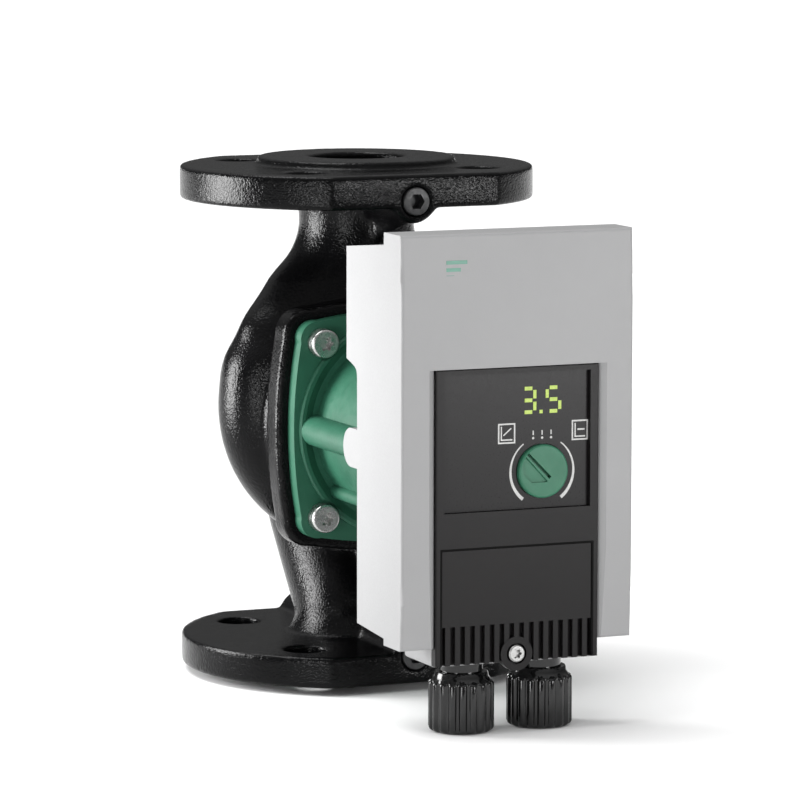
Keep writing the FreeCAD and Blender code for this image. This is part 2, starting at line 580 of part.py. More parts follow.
# back closing plate with the hole for the motor
base_pts = [(REAR_UP + 0.6, 189.6), (REAR_UP + 3.6, 189.9), (REAR_UP + 3.6, 147.0), (REAR_LO + 3.6, 141.0),
            (REAR_LO + 3.6, 44.0), (REAR_LO + 0.6, 44.2), (REAR_LO + 0.6, 139.6), (REAR_UP + 0.6, 145.6)]
base = poly_x(base_pts, -MOD_HALF + WALL + 0.1, MOD_HALF - WALL - 0.1)
base = base.cut(cyl_y(CAN_R + 0.1, 100, 140)).cut(box(-4.1, 4.1, 100, 130, AXIS_Z + 30, AXIS_Z + 41.1))
base = base.cut(box(-47, 47, 100, 119.8, AXIS_Z - 6.4, AXIS_Z + 6.4))
for sx in (-1, 1):
    for z in (58.0, 180.0):
        base = base.cut(cyl_y(2.2, 105, 130, sx * 42.0, z))
out("module_base", max(base.Solids, key=lambda s: s.Volume))
scr = []
for sx in (-1, 1):
    for z, d0 in ((58.0, REAR_LO + 0.55), (180.0, REAR_UP + 0.55)):
        h = cyl_y(3.6, d0 - 2.6, d0, sx * 42.0, z)
        h = h.cut(torx(sx * 42.0, z, d0 - 0.9, 2.0, 2.2).cut(box(-60, 60, d0 - 1.2, d0 + 5, 0, 220)))
        scr.append(h.fuse(cyl_y(2.15, d0 - 0.5, d0 + 9.0, sx * 42.0, z)).removeSplitter())
out("module_screws", scr)

# electronics inside
out("heat_sink", fuse(box(-38, 38, CAN_END + 2.0, CAN_END + 4.5, 76.0, 150.0),
                      *[box(-36 + 6 * k, -34.4 + 6 * k, CAN_END + 4.0, CAN_END + 9.5, 78.0, 148.0) for k in range(13)]))
out("circuit_board", box(-45, 45, 135.0, 136.4, 77.0, 188.0).cut(cyl_y(1.6, 130, 140, -41, 184)).cut(
    cyl_y(1.6, 130, 140, 41, 184)).cut(cyl_y(1.6, 130, 140, -41, 81)).cut(cyl_y(1.6, 130, 140, 41, 81)))
caps = [try_fillet(cyl_y(7.5, 117.0, 134.95, x, 176.0), 1.0, lambda e: e.BoundBox.YLength < 0.05) for x in (-30, -12, 6)]
out("capacitors", caps)
out("motor_connector", fuse(box(-10, 10, CAN_END - 2.9, 134.9, AXIS_Z + 40.5, AXIS_Z + 47.5).cut(
    box(-50, 50, 100, 126.0, 0, 220)), box(-8, 8, 127.0, 134.9, AXIS_Z + 41.5, AXIS_Z + 46.5)))

# terminal box with the two cable entries
carrier = box(-PANEL_HALF, PANEL_HALF, CARRIER_D0, PANEL_D0 - 0.1, CARRIER_Z0, 73.0)
carrier = try_fillet(carrier, 1.5, lambda e: e.BoundBox.YLength > 20 and e.BoundBox.ZMax < CARRIER_Z0 + 1)
carrier = carrier.cut(box(-COVER_HALF - 0.3, COVER_HALF + 0.3, CARRIER_D0 + 2.5, 170, CARRIER_Z0 + 2.5, 70.5))
for sx in (-1, 1):
    carrier = carrier.cut(cyl_z(8.05, 20, 40, sx * GLAND_X, GLAND_D))
# post that takes the cover screw
post = box(-4.0, 4.0, 154.5, 160.0, CARRIER_Z0 + 1.0, 37.0)
carrier = carrier.fuse(post).cut(cyl_y(1.9, 150, 165, 0.0, SCREW_Z)).removeSplitter()
out("terminal_box", carrier)
tb = box(-26.0, 26.0, CARRIER_D0 + 2.6, 149.5, 47.0, 62.0)
tb = tb.fuse(box(-26.0, 26.0, CARRIER_D0 + 2.6, 155.0, 47.0, 54.0)).removeSplitter()
for k in range(5):
    x = -20.0 + 10.0 * k
    tb = tb.cut(cyl_y(2.6, 150.0, 156.0, x, 50.5))
    tb = tb.cut(box(x - 2.4, x + 2.4, 145.0, 154.0, 46.0, 48.6))
    tb = tb.cut(cyl_y(2.4, 144.0, 151.0, x, 58.0))
out("terminal_block", tb)
ts = []
for k in range(5):
    x = -20.0 + 10.0 * k
    s = cyl_y(2.3, 150.05, 153.4, x, 50.5).cut(box(x - 3, x + 3, 152.4, 154, 50.1, 50.9))
    ts.append(s)
out("terminal_screws", ts)
earth = cyl_y(3.5, 141.6, 144.6, 0.0, 66.5).cut(box(-4, 4, 143.6, 146, 66.0, 67.0)).cut(
    box(-0.5, 0.5, 143.6, 146, 62.0, 72.0)).fuse(cyl_y(2.0, CARRIER_D0 + 2.55, 142.0, 0.0, 66.5))
out("earth_screw", earth.removeSplitter())

# glands
bodies, seals, locks = [], [], []
for sx in (-1, 1):
    x = sx * GLAND_X
    g = revolve_z([(CABLE_R, 9.0), (7.6, 9.0), (8.0, 10.0), (8.0, 24.6), (8.7, 24.6), (8.7, CARRIER_Z0 - 0.02),
                   (7.95, CARRIER_Z0 - 0.02), (7.95, 38.0), (CABLE_R, 38.0)], x, GLAND_D)
    bodies.append(g)
    seals.append(revolve_z([(CABLE_R, 4.3), (7.9, 4.3), (7.9, 8.9), (CABLE_R, 8.9)], x, GLAND_D))
    r = 20.0 / math.sqrt(3.0)
    hx = Part.Face(Part.makePolygon([V(x + r * math.cos(math.radians(60 * k)), -GLAND_D + r * math.sin(math.radians(60 * k)), 31.05)
                                     for k in range(7)])).extrude(V(0, 0, 4.0))
    locks.append(hx.cut(cyl_z(8.0, 30, 40, x, GLAND_D)))
out("gland_bodies", bodies)
out("gland_seals", seals)
out("gland_locknuts", locks)


def gland_nut(x):
    n = revolve_z([(CABLE_R, NUT_Z0 + 0.6), (CABLE_R + 0.6, NUT_Z0), (11.6, NUT_Z0), (12.4, NUT_Z0 + 1.2),
                   (12.4, 20.6), (11.0, 22.4), (10.6, NUT_Z1), (8.05, NUT_Z1), (8.05, 4.2), (CABLE_R, 4.2)],
                  x, GLAND_D)
    nr = 18
    for k in range(nr):
        t = 2 * math.pi * (k + 0.5) / nr
        rb = box(11.8, GLAND_R - 0.5, -0.75, 0.75, NUT_Z0 + 1.0, 20.4)
        rc = cyl_z(0.75, NUT_Z0 + 1.0, 20.4, GLAND_R - 0.75, 0.0)
        rb = rb.fuse(rc)
        rb.rotate(V(0, 0, 0), V(0, 0, 1), math.degrees(t))
        rb.translate(V(x, -GLAND_D, 0))
        n = n.fuse(rb)
    return n.removeSplitter()


out("gland_nut_left", gland_nut(-GLAND_X))
out("gland_nut_right", gland_nut(GLAND_X))

# ---------------------------------------------------------------------------
# Operating panel
# ---------------------------------------------------------------------------
panel = box(-PANEL_HALF, PANEL_HALF, PANEL_D0, PANEL_D1, PANEL_Z0, PANEL_Z1)
panel = try_fillet(panel, 0.6, lambda e: e.BoundBox.YMax < -PANEL_D1 + 0.05)
panel = panel.cut(box(-WIN_HALF, WIN_HALF, WIN_D - 1.2, PANEL_D1 + 1, WIN_Z0, WIN_Z1))
panel = panel.cut(box(-WIN_HALF + 1.5, WIN_HALF - 1.5, PANEL_D0 - 1, PANEL_D1 + 1, WIN_Z0 + 1.5, WIN_Z1 - 1.5))
panel = panel.cut(box(-COVER_HALF - 0.15, COVER_HALF + 0.15, PANEL_D0 - 1, PANEL_D1 + 1, 20, COVER_Z1 + 0.6))
out("control_panel", panel)
window = box(-WIN_HALF + 0.15, WIN_HALF - 0.15, WIN_D - 1.15, WIN_D, WIN_Z0 + 0.15, WIN_Z1 - 0.15)
window = window.cut(cyl_y(KNOB_R + 0.35, 160, 170, KNOB_X, KNOB_Z))
out("display_window", window)
out("display_module", box(1.5, 21.0, 155.6, WIN_D - 1.3, 126.5, 140.8))


def seg(x, z, w, h):
    return box(x - w / 2, x + w / 2, WIN_D + 0.005, WIN_D + 0.12, z - h / 2, z + h / 2)


digits = []
DW, DH, ST = 3.3, 1.5, 1.35
ROW = 4.72
for cx, on in ((5.45, "agdcb"), (16.35, "afgcd")):
    zt, zm, zb = 133.6 + ROW, 133.6, 133.6 - ROW
    table = {"a": (cx, zt, DW, DH), "g": (cx, zm, DW, DH), "d": (cx, zb, DW, DH),
             "b": (cx + 2.75, (zt + zm) / 2, ST, 3.4), "c": (cx + 2.75, (zb + zm) / 2, ST, 3.4),
             "f": (cx - 2.75, (zt + zm) / 2, ST, 3.4), "e": (cx - 2.75, (zb + zm) / 2, ST, 3.4)}
    for ch in on:
        digits.append(seg(*table[ch]))
digits.append(seg(10.95, 133.6 - ROW, 1.4, 1.4))
out("display_digits", digits)


def mark(pts):
    return poly_y(pts, WIN_D + 0.005, WIN_D + 0.1)


marks = []
for side in (-1, 1):
    o, i = [], []
    for j in range(25):
        u = j / 24.0
        ang = math.radians(36 + (143 - 36) * u)
        half = (0.22 + 0.46 * u)
        for lst, rr in ((o, 13.75 + half), (i, 13.75 - half)):
            lst.append((KNOB_X + side * rr * math.sin(ang), KNOB_Z + rr * math.cos(ang)))
    marks.append(mark(o + i[::-1]))
for x0, x1, zt, zb in ((-7.75, -0.25, 124.8, 116.7), (24.4, 31.5, 124.8, 116.7)):
    fr = mark([(x0, zb), (x1, zb), (x1, zt), (x0, zt)])
    fr = fr.cut(box(x0 + 0.6, x1 - 0.6, 160, 170, zb + 0.6, zt - 0.6))
    marks.append(fr)


def stroke(x0, z0, x1, z1, w):
    L = math.hypot(x1 - x0, z1 - z0)
    nx, nz = -(z1 - z0) / L * w / 2, (x1 - x0) / L * w / 2
    return mark([(x0 + nx, z0 + nz), (x1 + nx, z1 + nz), (x1 - nx, z1 - nz), (x0 - nx, z0 - nz)])


# variable-pressure symbol: rising line over a base line
marks.append(stroke(-6.5, 118.2, -1.5, 118.2, 0.55).fuse(stroke(-6.3, 118.0, -6.3, 123.6, 0.5)).removeSplitter())
marks.append(stroke(-5.4, 120.0, -2.0, 122.8, 0.5))
# constant-pressure symbol: level lines beside an axis
marks.append(stroke(25.7, 118.2, 30.3, 118.2, 0.55).fuse(stroke(25.9, 118.0, 25.9, 123.6, 0.5)).removeSplitter())
marks.append(stroke(26.9, 121.0, 30.0, 121.0, 0.6))
# three ticks with dots over the knob
for k, x in enumerate((KNOB_X - 3.9, KNOB_X, KNOB_X + 3.9)):
    marks.append(mark([(x - 0.25, 119.6), (x + 0.25, 119.6), (x + 0.25, 121.4), (x - 0.25, 121.4)]))
    marks.append(cyl_y(0.5, WIN_D + 0.005, WIN_D + 0.1, x, 118.4))
out("panel_markings", marks)

# setting knob: disc, pointer slot, sunken quarter beside the slot, spindle
knob = cyl_y(KNOB_R, 163.6, KNOB_D, KNOB_X, KNOB_Z)
knob = try_fillet(knob, 0.9, lambda e: e.BoundBox.YLength < 0.05 and abs(e.BoundBox.YMin + KNOB_D) < 0.05)
sx0, sz0, sx1, sz1 = KNOB_X - 7.0, KNOB_Z + 7.2, KNOB_X + 2.8, KNOB_Z - 2.7
L = math.hypot(sx1 - sx0, sz1 - sz0)
nx, nz = -(sz1 - sz0) / L * 0.65, (sx1 - sx0) / L * 0.65
slot = poly_y([(sx0 + nx, sz0 + nz), (sx1 + nx, sz1 + nz), (sx1 - nx, sz1 - nz), (sx0 - nx, sz0 - nz)], KNOB_D - 1.8, KNOB_D + 1)
knob = knob.cut(slot)
sunk = poly_y([(sx0 - 1.6 * nx, sz0 - 1.6 * nz - 0.3), (sx1 - 2.4 * nx, sz1 - 2.4 * nz - 0.2), (KNOB_X + 1.0, KNOB_Z - 4.4),
               (KNOB_X - 5.4, KNOB_Z - 4.4), (KNOB_X - 8.6, KNOB_Z - 1.0), (KNOB_X - 9.2, KNOB_Z + 3.0)],
              KNOB_D - 0.9, KNOB_D + 1)
knob = knob.cut(sunk)
knob = knob.fuse(cyl_y(2.95, 153.0, 164.0, KNOB_X, KNOB_Z)).removeSplitter()
out("setting_knob", knob)
out("rotary_switch", fuse(box(KNOB_X - 7, KNOB_X + 7, 150.0, 157.0, KNOB_Z - 7, KNOB_Z + 7),
                          cyl_y(4.2, 156.0, 160.0, KNOB_X, KNOB_Z)).cut(cyl_y(3.0, 152.0, 165.0, KNOB_X, KNOB_Z)))

# terminal cover with its ribbed foot and screw boss
cover = box(-COVER_HALF, COVER_HALF, PANEL_D0, COVER_D1 - 2.4, PANEL_Z0, COVER_Z1 - 0.3)
cover = cover.fuse(box(-COVER_HALF, COVER_HALF, PANEL_D0, COVER_D1, RIB_Z1, COVER_Z1 - 0.3))
n_r = 15
for k in range(n_r):
    x = -(n_r - 1) / 2.0 * RIB_PITCH + k * RIB_PITCH
    cover = cover.fuse(box(x - 1.05, x + 1.05, PANEL_D0, COVER_D1 - 0.2, PANEL_Z0, RIB_Z1 + 0.5))
cover = cover.fuse(cyl_y(6.9, PANEL_D0, COVER_D1, 0.0, SCREW_Z))
cover = tidy(cover)
cover = cover.cut(cyl_y(4.3, COVER_D1 - 2.4, COVER_D1 + 2, 0.0, SCREW_Z)).cut(cyl_y(2.3, 150, 175, 0.0, SCREW_Z))
out("terminal_cover", cover)
cs = cyl_y(3.55, COVER_D1 - 2.35, COVER_D1 + 0.6, 0.0, SCREW_Z)
cs = try_fillet(cs, 0.8, lambda e: e.BoundBox.YLength < 0.05 and abs(e.BoundBox.YMin + COVER_D1 + 0.6) < 0.05)
cs = cs.cut(torx(0.0, SCREW_Z, COVER_D1 + 0.6, 2.1, 1.8))
cs = cs.fuse(cyl_y(1.85, 154.0, COVER_D1 - 1.0, 0.0, SCREW_Z)).removeSplitter()
out("cover_screw", cs)

print("nodes", len(EXPORTED))
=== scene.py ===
import bpy, bmesh, json, math
import numpy as np
from mathutils import Vector, Matrix


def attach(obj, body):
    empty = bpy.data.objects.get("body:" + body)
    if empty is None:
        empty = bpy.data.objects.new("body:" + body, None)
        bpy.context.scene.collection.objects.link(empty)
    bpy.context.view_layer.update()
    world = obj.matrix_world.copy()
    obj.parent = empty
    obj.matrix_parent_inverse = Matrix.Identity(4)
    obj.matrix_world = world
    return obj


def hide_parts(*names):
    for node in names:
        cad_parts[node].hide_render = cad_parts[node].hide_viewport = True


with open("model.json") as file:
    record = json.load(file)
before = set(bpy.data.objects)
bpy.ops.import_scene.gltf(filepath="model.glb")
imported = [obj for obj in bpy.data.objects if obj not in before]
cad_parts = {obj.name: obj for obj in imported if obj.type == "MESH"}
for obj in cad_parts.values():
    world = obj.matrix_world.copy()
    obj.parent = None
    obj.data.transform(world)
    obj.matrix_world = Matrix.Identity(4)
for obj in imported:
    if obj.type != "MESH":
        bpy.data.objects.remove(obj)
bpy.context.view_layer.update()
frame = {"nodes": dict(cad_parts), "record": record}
NODES = frame["nodes"]
MM = 0.001
AXIS = 110 * MM


# --------------------------------------------------------------------------- materials
def ramp(nt, fac, stops):
    r = nt.nodes.new("ShaderNodeValToRGB")
    cr = r.color_ramp
    cr.elements[0].position, cr.elements[0].color = stops[0][0], stops[0][1]
    cr.elements[1].position, cr.elements[1].color = stops[-1][0], stops[-1][1]
    for p, c in stops[1:-1]:
        e = cr.elements.new(p)
        e.color = c
    nt.links.new(fac, r.inputs["Fac"])
    return r.outputs["Color"]


def grey(v, a=1.0):
    return (v, v, v, a)


class Mat:
    """A Principled material with helpers for layered noise colour, roughness and bump."""

    def __init__(self, name, base, rough=0.5, metallic=0.0, spec=0.5, coat=0.0, coat_rough=0.1):
        m = bpy.data.materials.new(name)
        m.use_nodes = True
        self.m, self.nt = m, m.node_tree
        self.b = self.nt.nodes["Principled BSDF"]
        self.b.inputs["Base Color"].default_value = (*base[:3], 1)
        self.b.inputs["Roughness"].default_value = rough
        self.b.inputs["Metallic"].default_value = metallic
        self.b.inputs["Specular IOR Level"].default_value = spec
        self.b.inputs["Coat Weight"].default_value = coat
        self.b.inputs["Coat Roughness"].default_value = coat_rough
        self.base, self.rough = base, rough
        self.tc = self.nt.nodes.new("ShaderNodeTexCoord").outputs["Object"]
        self.height = []
        m.diffuse_color = (*base[:3], 1)

    def coord(self, scale=(1, 1, 1), rot=(0, 0, 0), loc=(0, 0, 0)):
        mp = self.nt.nodes.new("ShaderNodeMapping")
        mp.inputs["Scale"].default_value = scale
        mp.inputs["Rotation"].default_value = rot
        mp.inputs["Location"].default_value = loc
        self.nt.links.new(self.tc, mp.inputs["Vector"])
        return mp.outputs["Vector"]

    def noise(self, scale, detail=3.0, rough=0.55, vec=None, dist=0.0):
        n = self.nt.nodes.new("ShaderNodeTexNoise")
        n.inputs["Scale"].default_value = scale
        n.inputs["Detail"].default_value = detail
        n.inputs["Roughness"].default_value = rough
        n.inputs["Distortion"].default_value = dist
        self.nt.links.new(vec if vec is not None else self.tc, n.inputs["Vector"])
        return n.outputs["Fac"]

    def voronoi(self, scale, feature="F1", smooth=1.0, vec=None, rand=1.0):
        n = self.nt.nodes.new("ShaderNodeTexVoronoi")
        n.feature = feature
        n.inputs["Scale"].default_value = scale
        n.inputs["Randomness"].default_value = rand
        if feature == "SMOOTH_F1":
            n.inputs["Smoothness"].default_value = smooth
        self.nt.links.new(vec if vec is not None else self.tc, n.inputs["Vector"])
        return n.outputs["Distance"]

    def math(self, op, a, b=None, c=None, clamp=False):
        n = self.nt.nodes.new("ShaderNodeMath")
        n.operation = op
        n.use_clamp = clamp
        for i, v in enumerate((a, b, c)):
            if v is None:
                continue
            if isinstance(v, (int, float)):
                n.inputs[i].default_value = v
            else:
                self.nt.links.new(v, n.inputs[i])
        return n.outputs[0]

    def remap(self, v, a, b, c, d):
        n = self.nt.nodes.new("ShaderNodeMapRange")
        n.inputs["From Min"].default_value = a
        n.inputs["From Max"].default_value = b
        n.inputs["To Min"].default_value = c
        n.inputs["To Max"].default_value = d
        self.nt.links.new(v, n.inputs["Value"])
        return n.outputs["Result"]

    def tint(self, fac, lo, hi, a=0.3, b=0.7):
        """Base colour runs from lo to hi times the base as fac goes from a to b."""
        c0 = tuple(min(1, x * lo) for x in self.base[:3]) + (1,)
        c1 = tuple(min(1, x * hi) for x in self.base[:3]) + (1,)
        self.nt.links.new(ramp(self.nt, fac, [(a, c0), (b, c1)]), self.b.inputs["Base Color"])

    def roughen(self, fac, lo, hi, a=0.3, b=0.7):
        self.nt.links.new(self.remap(fac, a, b, lo, hi), self.b.inputs["Roughness"])

    def bump(self, h, dist, strength=1.0):
        """Adds a bump layer; dist is its height in metres."""
        n = self.nt.nodes.new("ShaderNodeBump")
        n.inputs["Strength"].default_value = strength
        n.inputs["Distance"].default_value = dist
        self.nt.links.new(h, n.inputs["Height"])
        if self.height:
            self.nt.links.new(self.height[-1], n.inputs["Normal"])
        self.height.append(n.outputs["Normal"])
        self.nt.links.new(n.outputs["Normal"], self.b.inputs["Normal"])
        return self

    def coat_normal(self):
        if self.height:
            self.nt.links.new(self.height[-1], self.b.inputs["Coat Normal"])


def edge_wear(M, amount=0.35, lo=0.5, hi=0.62):
    g = M.nt.nodes.new("ShaderNodeNewGeometry")
    return M.remap(g.outputs["Pointiness"], lo, hi, 0.0, amount)


def make_materials():
    L = {}
    # glossy black coating over sand-cast iron: orange peel plus the casting's grain
    M = Mat("cast_black", (0.0022, 0.0022, 0.0024), rough=0.14, spec=0.12)
    wide = M.noise(30, 2.0, 0.5)
    M.tint(wide, 0.7, 1.6)
    M.roughen(M.noise(260, 3), 0.08, 0.15)
    M.bump(M.noise(560, 2.0, 0.6), 0.00034, 0.50)
    M.bump(M.noise(1150, 1.5, 0.6), 0.00036, 0.60)
    L["cast_black"] = M.m
    # green coating on the die-cast motor shell
    M = Mat("green_paint", (0.021, 0.100, 0.060), rough=0.4, spec=0.28)
    b = M.noise(60, 4.0, 0.55)
    M.tint(b, 0.9, 1.08)
    M.roughen(M.noise(300, 3), 0.36, 0.5)
    M.bump(M.noise(900, 2), 0.00008, 0.6)
    M.bump(M.noise(130, 2), 0.00025, 0.35)
    L["green_paint"] = M.m
    # fine-textured grey housing plastic
    for nm, col in (("grey_plastic", (0.285, 0.285, 0.288)), ("grey_plastic_box", (0.275, 0.275, 0.278)),
                    ("grey_base", (0.24, 0.24, 0.245))):
        M = Mat(nm, col, rough=0.5, spec=0.4)
        M.tint(M.noise(18, 4, 0.6), 0.975, 1.025)
        M.roughen(M.noise(1500, 2), 0.44, 0.58)
        M.bump(M.voronoi(2600, "SMOOTH_F1", 1.0), 0.00005, 0.35)
        M.bump(M.noise(60, 2), 0.00012, 0.25)
        L[nm] = M.m
    # dark plastics
    for nm, col, r, bumpy in (("panel_dark", (0.0080, 0.0073, 0.0076), 0.36, 0.4), ("cover_dark", (0.0078, 0.0071, 0.0074), 0.34, 0.45),
                              ("window_dark", (0.0095, 0.0088, 0.0092), 0.3, 0.12), ("display_base", (0.02, 0.02, 0.02), 0.5, 0.4)):
        M = Mat(nm, col, rough=r, spec=0.17)
        M.tint(M.noise(25, 4, 0.6), 0.93, 1.08)
        M.roughen(M.noise(1400, 2), r - 0.04, r + 0.06)
        M.bump(M.voronoi(2400, "SMOOTH_F1", 1.0), 0.00004, bumpy)
        M.bump(M.noise(45, 2), 0.0001, 0.12)
        L[nm] = M.m
    # glossy polyamide glands
    M = Mat("gland_black", (0.0040, 0.0040, 0.0042), rough=0.1, spec=0.5)
    M.tint(M.noise(40, 3), 0.85, 1.2)
    M.roughen(M.noise(500, 3), 0.07, 0.16)
    M.bump(M.noise(180, 2), 0.00018, 0.3)
    L["gland_black"] = M.m
    # bright screws and bolts: turned rings on the head, fine scratches
    for nm, col, r in (("bolt_steel", (0.52, 0.52, 0.51), 0.28), ("screw_bright", (0.40, 0.40, 0.395), 0.36),
                       ("stainless", (0.56, 0.55, 0.54), 0.34), ("stainless_bright", (0.66, 0.66, 0.66), 0.2),
                       ("lamination", (0.3, 0.3, 0.31), 0.4), ("magnet", (0.25, 0.25, 0.27), 0.35), ("alu", (0.7, 0.7, 0.71), 0.36)):
        M = Mat(nm, col, rough=r, metallic=1.0)
        M.tint(M.noise(160, 4, 0.6), 0.82, 1.1)
        M.roughen(M.noise(420, 4, 0.65), r - 0.09, r + 0.14)
        M.bump(M.noise(1.0, 4, 0.6, M.coord((2600, 300, 2600))), 0.00004, 0.45)
        L[nm] = M.m
    M = Mat("plug_steel", (0.028, 0.028, 0.029), rough=0.34, spec=0.5, metallic=0.35)
    M.tint(M.noise(220, 4), 0.7, 1.6)
    M.roughen(M.noise(500, 3), 0.28, 0.45)
    M.bump(M.noise(800, 3), 0.00006, 0.5)
    L["plug_steel"] = M.m
    M = Mat("gasket", (0.0035, 0.0035, 0.0035), rough=0.8, spec=0.1)
    M.tint(M.noise(200, 3), 0.8, 1.3)
    M.bump(M.noise(1500, 2), 0.00006, 0.5)
    L["gasket"] = M.m
    M = Mat("impeller_plastic", (0.62, 0.58, 0.47), rough=0.5)
    M.tint(M.noise(120, 3), 0.9, 1.06)
    M.bump(M.noise(900, 2), 0.00006, 0.5)
    L["impeller_plastic"] = M.m
    M = Mat("ceramic_carbon", (0.03, 0.03, 0.032), rough=0.3)
    M.tint(M.noise(300, 3), 0.7, 1.3)
    M.bump(M.noise(1200, 2), 0.00003, 0.4)
    L["ceramic_carbon"] = M.m
    M = Mat("copper", (0.6, 0.25, 0.1), rough=0.3, metallic=0.9)
    w = M.nt.nodes.new("ShaderNodeTexWave")
    w.inputs["Scale"].default_value = 420
    M.nt.links.new(M.tc, w.inputs["Vector"])
    M.tint(M.noise(90, 3), 0.75, 1.1)
    M.bump(w.outputs["Fac"], 0.0003, 0.6)
    L["copper"] = M.m
    M = Mat("mark_green", (0.03, 0.17, 0.115), rough=0.35)
    M.tint(M.noise(200, 3), 0.9, 1.1)
    M.bump(M.noise(900, 2), 0.00003, 0.3)
    L["mark_green"] = M.m
    M = Mat("pcb", (0.02, 0.14, 0.05), rough=0.3, coat=0.3)
    M.tint(M.voronoi(260, "F1"), 0.5, 1.4, 0.2, 0.8)
    M.bump(M.noise(700, 2), 0.0001, 0.4)
    L["pcb"] = M.m
    M = Mat("cap_sleeve", (0.03, 0.035, 0.08), rough=0.25)
    M.tint(M.noise(90, 2), 0.85, 1.2)
    M.bump(M.noise(300, 2), 0.00008, 0.3)
    L["cap_sleeve"] = M.m
    M = Mat("connector_white", (0.62, 0.62, 0.6), rough=0.45)
    M.tint(M.noise(150, 3), 0.93, 1.04)
    M.bump(M.noise(1100, 2), 0.00005, 0.5)
    L["connector_white"] = M.m
    M = Mat("brass_screw", (0.62, 0.47, 0.2), rough=0.3, metallic=1.0)
    M.tint(M.noise(260, 4), 0.75, 1.1)
    M.roughen(M.noise(500, 4), 0.2, 0.42)
    M.bump(M.noise(900, 3), 0.00004, 0.5)
    L["brass_screw"] = M.m
    # printed symbols
    M = Mat("marking_white", (0.52, 0.52, 0.51), rough=0.5)
    M.tint(M.noise(700, 3), 0.85, 1.08)
    M.bump(M.noise(2500, 2), 0.00001, 0.4)
    L["marking_white"] = M.m
    # lit display segments
    M = Mat("digit_glow", (0.22, 0.30, 0.03), rough=0.4)
    n = M.noise(900, 2)
    M.nt.links.new(ramp(M.nt, n, [(0.3, (0.30, 0.42, 0.03, 1)), (0.7, (0.52, 0.66, 0.16, 1))]), M.b.inputs["Emission Color"])
    M.b.inputs["Emission Strength"].default_value = 0.5
    L["digit_glow"] = M.m
    # moulded green knob
    M = Mat("knob_green", (0.029, 0.138, 0.080), rough=0.4, spec=0.28)
    M.tint(M.noise(110, 3), 0.93, 1.06)
    M.roughen(M.noise(900, 2), 0.34, 0.46)
    M.bump(M.noise(1600, 2), 0.00003, 0.5)
    L["knob_green"] = M.m
    # studio floor
    M = Mat("floor_white", (0.9, 0.9, 0.9), rough=0.9, spec=0.0)
    M.tint(M.noise(2.0, 3), 0.99, 1.01)
    L["floor_white"] = M.m
    return L


MATS = make_materials()
SLOT = {s["node"]: s["material_slot"] for s in frame["record"]["subparts"]}
for name, ob in NODES.items():
    mat = MATS[SLOT[name]]
    if not ob.data.materials:
        ob.data.materials.append(mat)
    for i in range(len(ob.material_slots)):
        ob.material_slots[i].material = mat


# --------------------------------------------------------------------------- mesh helpers
def link(ob):
    bpy.context.scene.collection.objects.link(ob)
    return ob


def evaluated(ob):
    dg = bpy.context.evaluated_depsgraph_get()
    return bpy.data.meshes.new_from_object(ob.evaluated_get(dg))


def copy_of(node, name):
    ob = bpy.data.objects.new(name, NODES[node].data.copy())
    return link(ob)


def voxel(ob, size):
    m = ob.modifiers.new("v", "REMESH")
    m.mode = "VOXEL"
    m.voxel_size = size
    me = evaluated(ob)
    ob.modifiers.clear()
    old = ob.data
    ob.data = me
    bpy.data.meshes.remove(old)
    return ob


def arrays(me):
    n, e = len(me.vertices), len(me.edges)
    co = np.empty(n * 3)
    me.vertices.foreach_get("co", co)
    ed = np.empty(e * 2, dtype=np.int64)
    me.edges.foreach_get("vertices", ed)
    return co.reshape(-1, 3), ed.reshape(-1, 2)


def smooth(co, ed, weight, iters, lam=0.5):
    n = len(co)
    deg = np.bincount(ed.ravel(), minlength=n).astype(float)
    deg[deg == 0] = 1
    w = (weight * lam)[:, None]
    for _ in range(iters):
        s = np.empty_like(co)
        for k in range(3):
            s[:, k] = np.bincount(ed[:, 0], co[ed[:, 1], k], n) + np.bincount(ed[:, 1], co[ed[:, 0], k], n)
        co = co + w * (s / deg[:, None] - co)
    return co


def smooth_part(co, ed, weight, iters):
    """Smooths only where weight is above zero."""
    near = weight > 0
    keep = np.zeros(len(co), dtype=bool)
    e = ed[near[ed].any(axis=1)]
    keep[e.ravel()] = True
    idx = np.full(len(co), -1)
    idx[keep] = np.arange(keep.sum())
    co = co.copy()
    co[keep] = smooth(co[keep], idx[e], weight[keep], iters)
    return co


def set_co(me, co):
    me.vertices.foreach_set("co", co.ravel())
    me.update()


def finish_piece(ob, body, slot, replaces=None, smooth_shade=True):
    ob.data.materials.clear()
    ob.data.materials.append(MATS[slot])
    if smooth_shade:
        ob.data.polygons.foreach_set("use_smooth", np.ones(len(ob.data.polygons), dtype=bool))
    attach(ob, body)
    if replaces:
        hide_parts(*replaces)
    return ob


# --------------------------------------------------------------------------- pump housing, as cast
CAST = [n for n in ("pump_housing", "lower_flange", "volute_casing", "suction_bend", "discharge_neck", "upper_flange")
        if n in NODES]
SEAM_Z, SEAM_Y = (0.025, 0.158, 0.195), 0.0095


def joined_casting(name):
    """One mesh of the casting's nodes, without the faces where they meet."""
    bm = bmesh.new()
    for n in CAST:
        bm.from_mesh(NODES[n].data)
    if len(CAST) > 1:
        eps = 2e-6
        bad = []
        for f in bm.faces:
            zs = [v.co.z for v in f.verts]
            ys = [v.co.y for v in f.verts]
            if any(all(abs(z - p) < eps for z in zs) for p in SEAM_Z) or \
                    (all(abs(y - SEAM_Y) < eps for y in ys) and min(zs) > 0.024 and max(zs) < 0.159):
                bad.append(f)
        bmesh.ops.delete(bm, geom=bad, context="FACES")
        bmesh.ops.remove_doubles(bm, verts=bm.verts, dist=2e-6)
    me = bpy.data.meshes.new(name)
    bm.to_mesh(me)
    bm.free()
    return link(bpy.data.objects.new(name, me))


